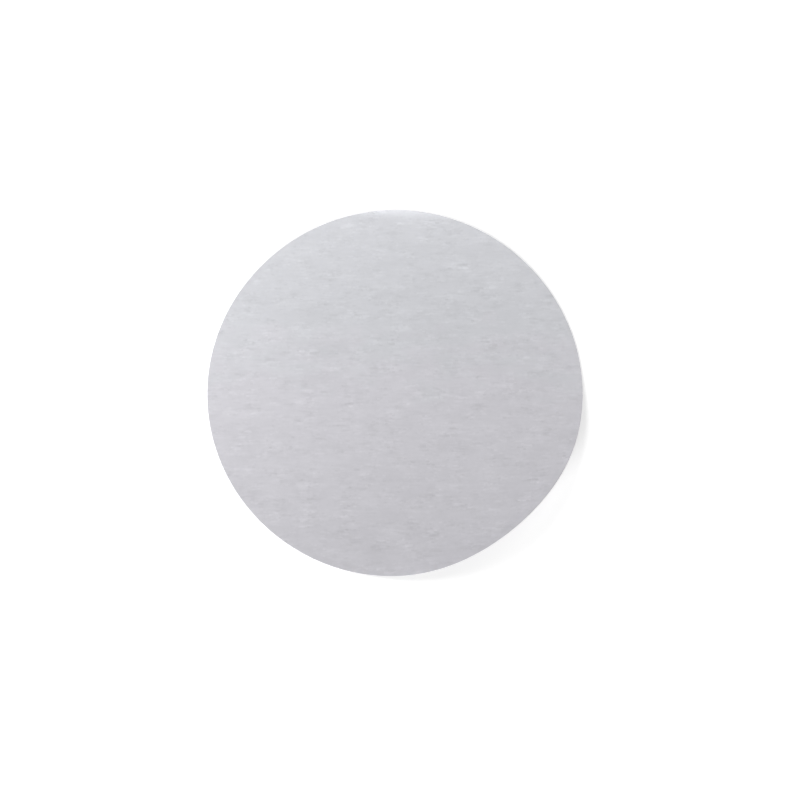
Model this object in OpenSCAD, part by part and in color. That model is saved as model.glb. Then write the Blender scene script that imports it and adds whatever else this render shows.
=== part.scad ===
// Round laboratory filter paper: one thin disc, die-cut from a flat sheet, lying on a bench.
// Its middle is flat. The front right side and the back have taken a slow curl, and the last millimetres of the
// back edge turn up in a tighter lip. Paper bends but doesn't stretch, so every curl runs in straight lines along
// chords of the disc, and all lengths on the bent paper are those of the flat disc.
// Millimetres. The origin is on the underside, below the disc's centre. +Z is up and +Y points to the back.

/* [Disc] */
// Diameter of the disc laid flat
disc_d = 110; // [40:1:240]
// Thickness of the paper
paper_t = 0.18; // [0.1:0.01:0.5]

/* [Front curl] */
// Compass direction of the side that curls up, from +X towards +Y (degrees)
front_dir = -49; // [-60:1:-47]
// Where the curl leaves the flat, as a share of the disc's radius
front_start = 0.46; // [0.46:0.01:0.75]
// Slope that the curl reaches at the rim (degrees)
front_rise = 36; // [5:1:50]

/* [Back curl] */
// Compass direction of the side that curls up, from +X towards +Y (degrees)
back_dir = 87; // [85:1:95]
// Where the curl leaves the flat, as a share of the disc's radius
back_start = 0.36; // [0.36:0.01:0.7]
// Slope that the curl reaches at the rim, without the lip (degrees)
back_rise = 7; // [2:1:25]
// Where the lip begins, as a share of the disc's radius
lip_start = 0.95; // [0.88:0.01:0.97]
// Further slope that the lip gains from there to the rim (degrees)
lip_rise = 23; // [10:1:65]

/* [Hidden] */
paper_colour = [0.8, 0.8, 0.82];
disc_r = disc_d / 2;
lines = 64;
$fn = 240;

// Share of the radius at which straight line i of a curl lies. The lines meet the rim at even spacing.
function share(i, start) = cos(acos(start) * (1 - i / lines));

// Half the length of the chord at a share of the radius.
function half_chord(s) = disc_r * sqrt(1 - s * s);

// Slope of the paper at a share of the radius. A curl bends more and more from its start, a lip evenly.
function slope(s, start, rise, lip) =
    rise * pow(max(s - start, 0) / (1 - start), 2) + lip * max(s - lip_start, 0) / (1 - lip_start);

// Step along the paper from line i to the next, seen from the side.
function step(i, start, rise, lip) =
    let (s = share(i, start), next = share(i + 1, start), a = slope((s + next) / 2, start, rise, lip))
    disc_r * (next - s) * [cos(a), sin(a)];

// Middle of the paper at each line, seen from the side, from the line where the curl starts.
function bent_line(start, rise, lip) =
    [for (i = 0, p = [0, 0]; i <= lines; p = p + step(i, start, rise, lip), i = i + 1) p];

// The bent paper seen from the side, half its thickness either way from its middle.
module side_profile(start, rise, lip) {
    middle = bent_line(start, rise, lip);
    half = [for (i = [0 : lines]) let (a = slope(share(i, start), start, rise, lip))
        paper_t / 2 * [-sin(a), cos(a)]];
    polygon(concat(middle + half, [for (i = [lines : -1 : 0]) middle[i] - half[i]]));
}

// The disc's round edge as it lies on the bent paper, seen at a tilt. It begins a little way into the flat.
module rolled_edge(start, rise, lip, tilt) {
    middle = bent_line(start, rise, lip);
    lead = 2 * paper_t;
    edge = concat([[-lead * cos(tilt), half_chord(start - lead / disc_r)]],
        [for (i = [0 : lines]) [middle[i] * [cos(tilt), sin(tilt)], half_chord(share(i, start))]]);
    polygon(concat(edge, [for (i = [lines : -1 : 0]) [edge[i].x, -edge[i].y]]));
}

// Turns towards a curl's direction and moves out to the chord where that curl leaves the flat.
module at_chord(dir, start) {
    rotate([0, 0, dir])
        translate([disc_r * start, 0, 0])
            children();
}

// One curled side of the disc: the bent profile drawn out along the chord, then cut to the round edge. The cut is
// made at half the final slope, so it is close to square with the paper all along.
module curled_side(dir, start, rise, lip = 0) {
    tilt = (rise + lip) / 2;
    at_chord(dir, start)
        intersection() {
            rotate([90, 0, 0])
                linear_extrude(disc_d, center = true)
                    side_profile(start, rise, lip);
            rotate([0, -tilt, 0])
                linear_extrude(2 * disc_d, center = true)
                    rolled_edge(start, rise, lip, tilt);
        }
}

// The flat middle of the disc, between the chords where the curls begin.
module flat_middle() {
    linear_extrude(paper_t, center = true)
        difference() {
            circle(disc_r);
            at_chord(front_dir, front_start)
                translate([0, -disc_r])
                    square(disc_d);
            at_chord(back_dir, back_start)
                translate([0, -disc_r])
                    square(disc_d);
        }
}

module paper_disc() {
    color(paper_colour)
        translate([0, 0, paper_t / 2])
            union() {
                flat_middle();
                curled_side(front_dir, front_start, front_rise);
                curled_side(back_dir, back_start, back_rise, lip_rise);
            }
}

paper_disc();
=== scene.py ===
"""A round laboratory filter paper on a pale floor: one curled sheet with its fibres, in soft light."""

from math import cos, pi, radians, sin

import bpy
import numpy as np
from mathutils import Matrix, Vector, noise


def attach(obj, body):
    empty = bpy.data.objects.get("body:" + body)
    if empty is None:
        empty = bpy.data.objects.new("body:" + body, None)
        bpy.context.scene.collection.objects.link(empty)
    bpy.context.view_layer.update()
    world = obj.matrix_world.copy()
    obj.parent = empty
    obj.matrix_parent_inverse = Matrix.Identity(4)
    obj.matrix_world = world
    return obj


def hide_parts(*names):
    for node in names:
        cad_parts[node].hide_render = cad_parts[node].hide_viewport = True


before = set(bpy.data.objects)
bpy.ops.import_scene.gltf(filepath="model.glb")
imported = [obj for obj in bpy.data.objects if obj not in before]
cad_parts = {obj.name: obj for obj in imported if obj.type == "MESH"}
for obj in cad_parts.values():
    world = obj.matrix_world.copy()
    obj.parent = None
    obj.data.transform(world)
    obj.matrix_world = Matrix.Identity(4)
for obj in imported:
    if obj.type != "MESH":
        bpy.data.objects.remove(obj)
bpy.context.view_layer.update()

MM = 0.001

# The sheet, as the part's source has it
DISC_R = 55 * MM
PAPER_T = 0.18 * MM
FRONT_CURL = {"dir": -49, "start": 0.46, "rise": 36}
BACK_CURL = {"dir": 87, "start": 0.36, "rise": 7, "lip_start": 0.95, "lip_rise": 23}
PROFILE_STEPS = 800       # steps in which a curl's side view is added up,
PROFILE_END = 1.01        # to this share of the radius, a little past the rim

# The mesh: cells are long across the sheet, along the fibres, and short from front to back
CELLS_ACROSS = 124
CELLS_DEEP = 348
SHARP_FROM = 40           # degrees between two cells from which the edge between them shows

# Relief of the paper: its height, and the lengths over which it changes, across and from front to back
COCKLE = {"height": 0.035 * MM, "across": 26 * MM, "deep": 15 * MM, "seed": 3.7, "octaves": 2}
GRAIN = {"height": 0.006 * MM, "across": 4.2 * MM, "deep": 2 * MM, "seed": 11.2, "octaves": 3}
OCTAVE_FADE = 1.0         # how fast the finer octaves of the relief fade,
OCTAVE_STEP = 2.1         # and how much finer each is than the one before
EDGE_FUZZ = {"mean": 0.015 * MM, "swing": 0.03 * MM, "cell": 0.25 * MM, "seed": 0.5}
PATTERN_FIT = 0.99        # share of the pattern's square that the flat disc fills

# Camera
CAMERA_TILT = 13          # degrees from straight down, towards the front
CAMERA_FAR = 439.2 * MM
CAMERA_LENS = 67.5        # in millimetres, as the sensor is
CAMERA_SENSOR = 36
CAMERA_NEAR = 10 * MM     # nothing closer than this is shown
VIEW_CENTRE = Vector((1.50 * MM, -3.28 * MM, 0))

# Light: compass direction and elevation in degrees, distance and side in metres, power in watts
KEY = {"dir": 155, "elevation": 41, "far": 0.214, "side": 0.12, "power": 0.245}
SIDE = {"dir": 30, "elevation": 33, "far": 0.192, "side": 0.12, "power": 0.102}
FRONT = {"dir": 234, "elevation": 13.6, "far": 1.5, "side": 0.5, "power": 29.0}
ROOM_LIGHT = 0.16         # strength of the even light from all round
FLOOR_GAP = 0.06 * MM     # room below the sheet for its cockle
FLOOR_SIDE = 6.0
FLOOR_COLOUR = (0.8, 0.8, 0.8)
FLOOR_LIFT = 0.48         # what the floor shows the camera on top of its own shade, near the paper
FLOOR_NEAR = 0.1          # from this many metres out it shows more and more,
FLOOR_FAR = 0.3           # and from here it is plain white

# Colour of the paper, with painted light in it: bluish behind one line across the sheet and pinkish in
# front of another, with a slow drift between them: painted cool light on the back, painted warm light on
# the front.
# The lines are given in millimetres behind the sheet's middle
PAPER_PAINTED_COOL_LIGHT = (0.650, 0.656, 0.685, 1)
PAPER_PAINTED_WARM_LIGHT = (0.664, 0.656, 0.692, 1)
PAINTED_COOL_LIGHT_FROM = 18
PAINTED_WARM_LIGHT_FROM = 0
DRIFT = {"across": 18, "deep": 10, "detail": 2, "seed": 8.8}
DRIFT_SHARE = 1.1         # how far the drift wanders, as a share of the whole change

# Pattern of the paper. Cells, lengths and widths are in millimetres
CLOUD = {"across": 12, "deep": 5, "detail": 4, "seed": 5.3}
TUFT = {"across": 3.2, "deep": 3.0, "detail": 2, "seed": 13.6}
STREAK = {"across": 5.6, "deep": 1.4, "detail": 1, "seed": 17.1}
PATCH = {"across": 6, "deep": 4, "detail": 0, "seed": 41.7}
PATCH_SWING = 1.2         # how much stronger or fainter the pattern gets from patch to patch,
PATCH_LEAST = 0.3         # and the least that stays of it

# Kinds of fibre, one fibre to a cell. Its tone is the most by which one lightens or darkens the paper
FIBRES = (
    {"across": 3.2, "deep": 1.5, "length": 2.9, "width": 0.9, "seed": 3.1, "tone": 0.033},
    {"across": 2.2, "deep": 1.2, "length": 2.0, "width": 0.8, "seed": 7.9, "tone": 0.029},
    {"across": 7.5, "deep": 2.2, "length": 7.1, "width": 0.9, "seed": 12.4, "tone": 0.026},
    {"across": 3.8, "deep": 1.3, "length": 3.5, "width": 0.65, "seed": 33.1, "tone": 0.031},
    {"across": 1.2, "deep": 1.0, "length": 0.95, "width": 0.6, "seed": 21.7, "tone": 0.040},
    {"across": 3.6, "deep": 2.2, "length": 3.2, "width": 1.9, "seed": 27.3, "tone": 0.015},
)
FIBRE_TURN = 0.1          # most that a fibre turns from lying across the sheet, in radians
FIBRE_BOW = 0.05          # most that it curves, in millimetres aside for each square millimetre along
FIBRE_SIDES = 3           # how steep a fibre's two sides are,
FIBRE_ENDS = 9            # and its two ends

# Dark specks, in a share of their cells
SPECKS = {"cell": 17, "width": 0.5, "share": 0.2, "seed": 2.6}

MOTTLE_ROUGHNESS = 0.7    # how strong the finer octaves of the soft patterns are
SEED_SLANT = 1.7          # how far a seed shifts a pattern to the back, for each cell across

# What each mark does to the paper: how much it lightens it, and its height in millimetres
TONE = {"cloud": 0.070, "tuft": 0.034, "streak": 0.022, "fibre": 1, "speck": -0.12}
BUMP = {"tuft": 0.006, "streak": 0.006, "fibre": 0.06}

# Surface of the paper: soft, hardly shiny, and light sinks in a little
ROUGHNESS = 0.9
ROUGHNESS_SWING = 0.05    # by how much the tufts change it
SURFACE = {
    "Specular IOR Level": 0.2, "Sheen Weight": 0.08, "Sheen Roughness": 0.6,
    "Subsurface Weight": 0.6, "Subsurface Radius": (1, 1, 1), "Subsurface Scale": 0.2 * MM,
}


# ---------------------------------------------------------------- the bent sheet

def past(share, start):
    """How far a share of the radius is on the way from a start, 0, to the rim, 1."""
    return np.clip(share - start, 0, None) / (1 - start)


def slope(share, curl):
    """Slope of the sheet, in radians, at a share of the radius along a curl's direction."""
    angle = curl["rise"] * past(share, curl["start"]) ** 2
    if "lip_start" in curl:
        angle = angle + curl["lip_rise"] * past(share, curl["lip_start"])
    return np.radians(angle)


def bend(flat):
    """The place and the normal, each (n, 3), that points of the flat sheet (n, 2) have on the bent one."""
    place = np.column_stack([flat, np.zeros(len(flat))])
    normal = np.tile([0.0, 0.0, 1.0], (len(flat), 1))
    for curl in (FRONT_CURL, BACK_CURL):
        angle = radians(curl["dir"])
        toward = np.array([cos(angle), sin(angle), 0])
        share = flat @ toward[:2] / DISC_R
        line = np.linspace(curl["start"], PROFILE_END, PROFILE_STEPS)
        step = line[1] - line[0]
        middle = slope(line[:-1] + step / 2, curl)
        along = curl["start"] + np.concatenate([[0], np.cumsum(np.cos(middle))]) * step
        up = np.concatenate([[0], np.cumsum(np.sin(middle))]) * step
        bent = share > curl["start"]
        moved = np.interp(share[bent], line, along) - share[bent]
        lifted = np.interp(share[bent], line, up)
        place[bent] += DISC_R * (moved[:, None] * toward + lifted[:, None] * [0, 0, 1])
        tilt = slope(share[bent], curl)[:, None]
        normal[bent] = np.cos(tilt) * [0, 0, 1] - np.sin(tilt) * toward
    return place, normal


def relief(flat, kind):
    """Height of one kind of relief at points of the flat sheet."""
    cells = flat / [kind["across"], kind["deep"]]
    heights = [noise.fractal((x, y, kind["seed"]), OCTAVE_FADE, OCTAVE_STEP, kind["octaves"])
               for x, y in cells]
    return kind["height"] * np.array(heights)


def disc_grid():
    """Points of the flat disc as a grid of rows, by mapping a square's rings onto rings of the disc."""
    u, v = np.meshgrid(np.linspace(-1, 1, CELLS_ACROSS + 1), np.linspace(-1, 1, CELLS_DEEP + 1))
    side_on = np.abs(u) > np.abs(v)
    radius = np.where(side_on, u, v)
    ratio = np.where(side_on, v, u) / np.where(radius == 0, 1, radius)
    turn = ratio * pi / 4
    x = radius * np.where(side_on, np.cos(turn), np.sin(turn))
    y = radius * np.where(side_on, np.sin(turn), np.cos(turn))
    return np.column_stack([x.ravel(), y.ravel()]) * DISC_R


def rim_loop():
    """Indices of the grid's border points, counter-clockwise."""
    row = CELLS_ACROSS + 1
    front = list(range(CELLS_ACROSS))
    right = [i * row + CELLS_ACROSS for i in range(CELLS_DEEP)]
    back = [CELLS_DEEP * row + j for j in range(CELLS_ACROSS, 0, -1)]
    left = [i * row for i in range(CELLS_DEEP, 0, -1)]
    return np.array(front + right + back + left)


def grid_quads():
    """Quads of the grid, seen from above counter-clockwise."""
    row = CELLS_ACROSS + 1
    i, j = np.meshgrid(np.arange(CELLS_DEEP), np.arange(CELLS_ACROSS), indexing="ij")
    corner = (i * row + j).ravel()
    return np.column_stack([corner, corner + 1, corner + row + 1, corner + row])


def edge_fuzz(flat):
    """How far the fibres of the cut edge stand out at points of the rim."""
    cells = flat / EDGE_FUZZ["cell"]
    waves = np.array([noise.noise((x, y, EDGE_FUZZ["seed"])) for x, y in cells])
    return EDGE_FUZZ["mean"] + EDGE_FUZZ["swing"] * waves


def paper_mesh():
    """The sheet as one closed mesh: its two faces, and between them a rounded, slightly fuzzy cut edge."""
    flat = disc_grid()
    place, normal = bend(flat)
    cockle = relief(flat, COCKLE)
    top = place + normal * (PAPER_T / 2 + cockle + relief(flat, GRAIN))[:, None]
    under = place + normal * (-PAPER_T / 2 + cockle - relief(flat * [1, -1], GRAIN))[:, None]

    rim = rim_loop()
    edge_place, edge_normal = bend(flat[rim] * (1 + edge_fuzz(flat[rim]) / DISC_R)[:, None])
    edge = edge_place + edge_normal * cockle[rim][:, None]

    count = len(flat)
    middle = 2 * count + np.arange(len(rim))
    ahead = np.roll(np.arange(len(rim)), -1)
    quads = grid_quads()
    faces = np.concatenate([
        quads,
        quads[:, ::-1] + count,
        np.column_stack([middle, middle[ahead], rim[ahead], rim]),
        np.column_stack([rim + count, rim[ahead] + count, middle[ahead], middle]),
    ])
    points = np.concatenate([top, under, edge]) + [0, 0, PAPER_T / 2]

    mesh = bpy.data.meshes.new("filter_sheet")
    mesh.from_pydata(points.tolist(), [], faces.tolist())
    pattern = mesh.uv_layers.new(name="flat_sheet")
    spread = np.concatenate([flat, flat, flat[rim]]) / (2 * DISC_R) * PATTERN_FIT + 0.5
    corners = np.empty(len(mesh.loops), dtype=np.int32)
    mesh.loops.foreach_get("vertex_index", corners)
    pattern.data.foreach_set("uv", spread[corners].ravel())
    mesh.polygons.foreach_set("use_smooth", [True] * len(mesh.polygons))
    mesh.set_sharp_from_angle(angle=radians(SHARP_FROM))
    return mesh


# ---------------------------------------------------------------- the paper's material

def new_material(name):
    """An empty node material, with its tree."""
    material = bpy.data.materials.new(name)
    material.use_nodes = True
    material.node_tree.nodes.clear()
    return material, material.node_tree


def add(tree, kind, settings=None, **inputs):
    """A node of one kind, with its settings, and with its inputs set or, for a socket, linked."""
    node = tree.nodes.new("ShaderNode" + kind)
    for name, value in (settings or {}).items():
        setattr(node, name, value)
    for name, value in inputs.items():
        socket = node.inputs[int(name[1:])] if name[0] == "_" else node.inputs[name.replace("_", " ")]
        if isinstance(value, bpy.types.NodeSocket):
            tree.links.new(value, socket)
        else:
            socket.default_value = value
    return node


def math(tree, operation, a, b=0.0, c=0.0):
    """The output of one arithmetic node."""
    return add(tree, "Math", {"operation": operation}, _0=a, _1=b, _2=c).outputs[0]


def sheet_place(tree):
    """Where a point of the paper lies on the flat sheet, in millimetres from its middle."""
    flat = add(tree, "UVMap", {"uv_map": "flat_sheet"}).outputs[0]
    size = 2 * DISC_R / MM / PATTERN_FIT
    return add(tree, "Mapping", Vector=flat, Location=(-size / 2, -size / 2, 0),
               Scale=(size, size, 1)).outputs[0]


def in_cells(tree, place, across, deep, seed):
    """Places in cells of a size in millimetres, across the sheet and from front to back."""
    return add(tree, "Mapping", Vector=place, Location=(seed, SEED_SLANT * seed, 0),
               Scale=(1 / across, 1 / deep, 1)).outputs[0]


def both_ways(tree, value):
    """A value between 0 and 1, spread over -1 to 1."""
    return math(tree, "MULTIPLY_ADD", value, 2.0, -1.0)


def mottle(tree, place, across, deep, detail, seed):
    """Soft noise, about -1 to 1."""
    cells = in_cells(tree, place, across, deep, seed)
    texture = add(tree, "TexNoise", {"noise_dimensions": "2D"}, Vector=cells, Scale=1.0, Detail=detail,
                  Roughness=MOTTLE_ROUGHNESS)
    return both_ways(tree, texture.outputs[0])


def ridge(tree, aside, width, steep):
    """1 along the middle of a band and 0 outside it. The steeper its sides, the wider its flat top."""
    near = math(tree, "MULTIPLY_ADD", math(tree, "ABSOLUTE", aside), -2 / width, 1.0)
    return add(tree, "Clamp", Value=math(tree, "MULTIPLY", near, steep)).outputs[0]


def signed_square(tree, value):
    """A value between -1 and 1, made smaller the closer it is to 0."""
    return math(tree, "MULTIPLY", value, math(tree, "ABSOLUTE", value))


def fibres(tree, place, across, deep, length, width, seed, tone):
    """Short fibres, one to a cell, hardly turned, a little curved. Most are hardly paler or darker."""
    cells = in_cells(tree, place, across, deep, seed)
    texture = add(tree, "TexVoronoi", {"voronoi_dimensions": "2D"}, Vector=cells, Scale=1.0)
    chance = [both_ways(tree, share)
              for share in add(tree, "SeparateColor", Color=texture.outputs["Color"]).outputs]
    middle = texture.outputs["Position"]
    offset = add(tree, "VectorMath", {"operation": "SUBTRACT"}, _0=cells, _1=middle).outputs[0]
    offset = add(tree, "VectorMath", {"operation": "MULTIPLY"}, _0=offset, _1=(across, deep, 0)).outputs[0]
    turn = math(tree, "MULTIPLY", signed_square(tree, chance[0]), FIBRE_TURN)
    turned = add(tree, "VectorRotate", {"rotation_type": "Z_AXIS"}, Vector=offset, Angle=turn).outputs[0]
    along, aside, _ = add(tree, "SeparateXYZ", Vector=turned).outputs
    bow = math(tree, "MULTIPLY", chance[1], FIBRE_BOW)
    bow = math(tree, "MULTIPLY", math(tree, "MULTIPLY", along, along), bow)
    band = ridge(tree, math(tree, "SUBTRACT", aside, bow), width, FIBRE_SIDES)
    piece = math(tree, "MULTIPLY", band, ridge(tree, along, length, FIBRE_ENDS))
    shade = math(tree, "MULTIPLY", signed_square(tree, chance[2]), tone)
    return math(tree, "MULTIPLY", piece, shade)


def specks(tree, place, cell, width, share, seed):
    """Tiny round specks, 1 in their middle and 0 around them. A share of the cells holds one."""
    cells = in_cells(tree, place, cell, cell, seed)
    texture = add(tree, "TexVoronoi", {"voronoi_dimensions": "2D"}, Vector=cells, Scale=1.0)
    chance = add(tree, "SeparateColor", Color=texture.outputs["Color"]).outputs[0]
    kept = math(tree, "LESS_THAN", chance, share)
    near = math(tree, "MULTIPLY_ADD", texture.outputs["Distance"], -2 * cell / width, 1.0)
    return math(tree, "MULTIPLY", math(tree, "MAXIMUM", near, 0.0), kept)


def paper_pattern(tree, place):
    """Each kind of mark in the paper, by name. All but clouds and specks are stronger in some patches."""
    patch = math(tree, "MULTIPLY_ADD", mottle(tree, place, **PATCH), PATCH_SWING, 1.0)
    patch = math(tree, "MAXIMUM", patch, PATCH_LEAST)
    fibre = 0.0
    for kind in FIBRES:
        fibre = math(tree, "ADD", fibres(tree, place, **kind), fibre)
    marks = {"streak": mottle(tree, place, **STREAK), "tuft": mottle(tree, place, **TUFT), "fibre": fibre}
    marks = {name: math(tree, "MULTIPLY", mark, patch) for name, mark in marks.items()}
    return marks | {"cloud": mottle(tree, place, **CLOUD), "speck": specks(tree, place, **SPECKS)}


def weighted(tree, marks, weights, start):
    """The marks that have a weight, each times its own, on top of a start."""
    total = start
    for name, weight in weights.items():
        total = math(tree, "MULTIPLY_ADD", marks[name], weight, total)
    return total


def paper_colour(tree, place, marks):
    """The paper's colour: a slow drift in hue, a painted light colour, lighter and darker by its marks."""
    depth = add(tree, "SeparateXYZ", Vector=place).outputs[1]
    # painted light: the paper turns from bluish at the back to pinkish at the front
    painted_light_mix = add(tree, "MapRange", {"clamp": False}, Value=depth,
               _1=PAINTED_COOL_LIGHT_FROM, _2=PAINTED_WARM_LIGHT_FROM, _3=0.0, _4=1.0).outputs[0]
    painted_light_mix = math(tree, "MULTIPLY_ADD", mottle(tree, place, **DRIFT), DRIFT_SHARE, painted_light_mix)
    hue = add(tree, "Mix", {"data_type": "RGBA", "clamp_factor": True}, _0=painted_light_mix,
              _6=PAPER_PAINTED_COOL_LIGHT, _7=PAPER_PAINTED_WARM_LIGHT).outputs[2]
    tone = weighted(tree, marks, TONE, 1.0)
    return add(tree, "VectorMath", {"operation": "SCALE"}, _0=hue, Scale=tone).outputs[0]


def paper_material():
    """Matt cotton fibre paper: a fine relief, a soft fuzz on its surface, and light that sinks in."""
    material, tree = new_material("filter_paper")
    place = sheet_place(tree)
    marks = paper_pattern(tree, place)
    height = weighted(tree, marks, BUMP, 0.0)
    bump = add(tree, "Bump", Strength=1.0, Distance=MM, Height=height).outputs[0]
    colour = paper_colour(tree, place, marks)
    roughness = math(tree, "MULTIPLY_ADD", marks["tuft"], ROUGHNESS_SWING, ROUGHNESS)
    paper = add(tree, "BsdfPrincipled", Base_Color=colour, Roughness=roughness, Normal=bump)
    for name, value in SURFACE.items():
        paper.inputs[name].default_value = value
    add(tree, "OutputMaterial", Surface=paper.outputs[0])
    return material


def add_filter_sheet():
    """The paper itself, in the place of the plain solid."""
    mesh = paper_mesh()
    mesh.materials.append(paper_material())
    sheet = bpy.data.objects.new("filter_sheet", mesh)
    bpy.context.scene.collection.objects.link(sheet)
    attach(sheet, "root")
    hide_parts("paper_disc")


# ---------------------------------------------------------------- the room

def seen_directly(tree):
    """1 for rays from the camera, a reflection or glass, and 0 for light on its way to a surface."""
    path = add(tree, "LightPath").outputs
    seen = math(tree, "MAXIMUM", path["Is Camera Ray"], path["Is Glossy Ray"])
    return math(tree, "MAXIMUM", seen, path["Is Transmission Ray"])


def floor_material():
    """A pale matt floor that shows as white where no shadow falls on it."""
    material, tree = new_material("pale_floor")
    shade = add(tree, "BsdfDiffuse", Color=(*FLOOR_COLOUR, 1))
    place = add(tree, "NewGeometry").outputs["Position"]
    away = add(tree, "VectorMath", {"operation": "LENGTH"}, _0=place).outputs["Value"]
    white = add(tree, "MapRange", {"interpolation_type": "SMOOTHSTEP"}, Value=away,
                _1=FLOOR_NEAR, _2=FLOOR_FAR, _3=FLOOR_LIFT, _4=1.0).outputs[0]
    lift = add(tree, "Emission", Strength=math(tree, "MULTIPLY", seen_directly(tree), white))
    both = add(tree, "AddShader", _0=shade.outputs[0], _1=lift.outputs[0])
    add(tree, "OutputMaterial", Surface=both.outputs[0])
    return material


def add_floor():
    """A wide square floor, just below the paper."""
    mesh = bpy.data.meshes.new("floor")
    half = FLOOR_SIDE / 2
    corners = [(-half, -half, 0), (half, -half, 0), (half, half, 0), (-half, half, 0)]
    mesh.from_pydata(corners, [], [(0, 1, 2, 3)])
    mesh.materials.append(floor_material())
    floor = bpy.data.objects.new("floor", mesh)
    floor.location.z = -FLOOR_GAP
    bpy.context.scene.collection.objects.link(floor)


def add_room_light():
    """A dim even light from all round, which shows as white."""
    world = bpy.data.worlds.new("room")
    world.use_nodes = True
    tree = world.node_tree
    tree.nodes.clear()
    strength = math(tree, "MAXIMUM", seen_directly(tree), ROOM_LIGHT)
    room = add(tree, "Background", Color=(1, 1, 1, 1), Strength=strength)
    add(tree, "OutputWorld", Surface=room.outputs[0])
    bpy.context.scene.world = world


def add_lamp(name, light):
    """A square soft lamp that faces the paper."""
    data = bpy.data.lights.new(name, "AREA")
    data.energy = light["power"]
    data.size = light["side"]
    lamp = bpy.data.objects.new(name, data)
    turn, lift = radians(light["dir"]), radians(light["elevation"])
    lamp.location = light["far"] * Vector((cos(lift) * cos(turn), cos(lift) * sin(turn), sin(lift)))
    lamp.rotation_euler = (-lamp.location).to_track_quat("-Z", "Y").to_euler()
    lamp.visible_camera = False
    bpy.context.scene.collection.objects.link(lamp)


def add_camera():
    """The camera, nearly overhead and a little to the front."""
    data = bpy.data.cameras.new("camera")
    data.lens = CAMERA_LENS
    data.sensor_width = CAMERA_SENSOR
    data.clip_start = CAMERA_NEAR
    camera = bpy.data.objects.new("camera", data)
    tilt = radians(CAMERA_TILT)
    camera.location = VIEW_CENTRE + CAMERA_FAR * Vector((0, -sin(tilt), cos(tilt)))
    camera.rotation_euler = (tilt, 0, 0)
    bpy.context.scene.collection.objects.link(camera)
    bpy.context.scene.camera = camera


add_filter_sheet()
add_floor()
add_room_light()
add_lamp("key_light", KEY)
add_lamp("side_light", SIDE)
add_lamp("front_light", FRONT)
add_camera()
bpy.context.scene.view_settings.view_transform = "Standard"
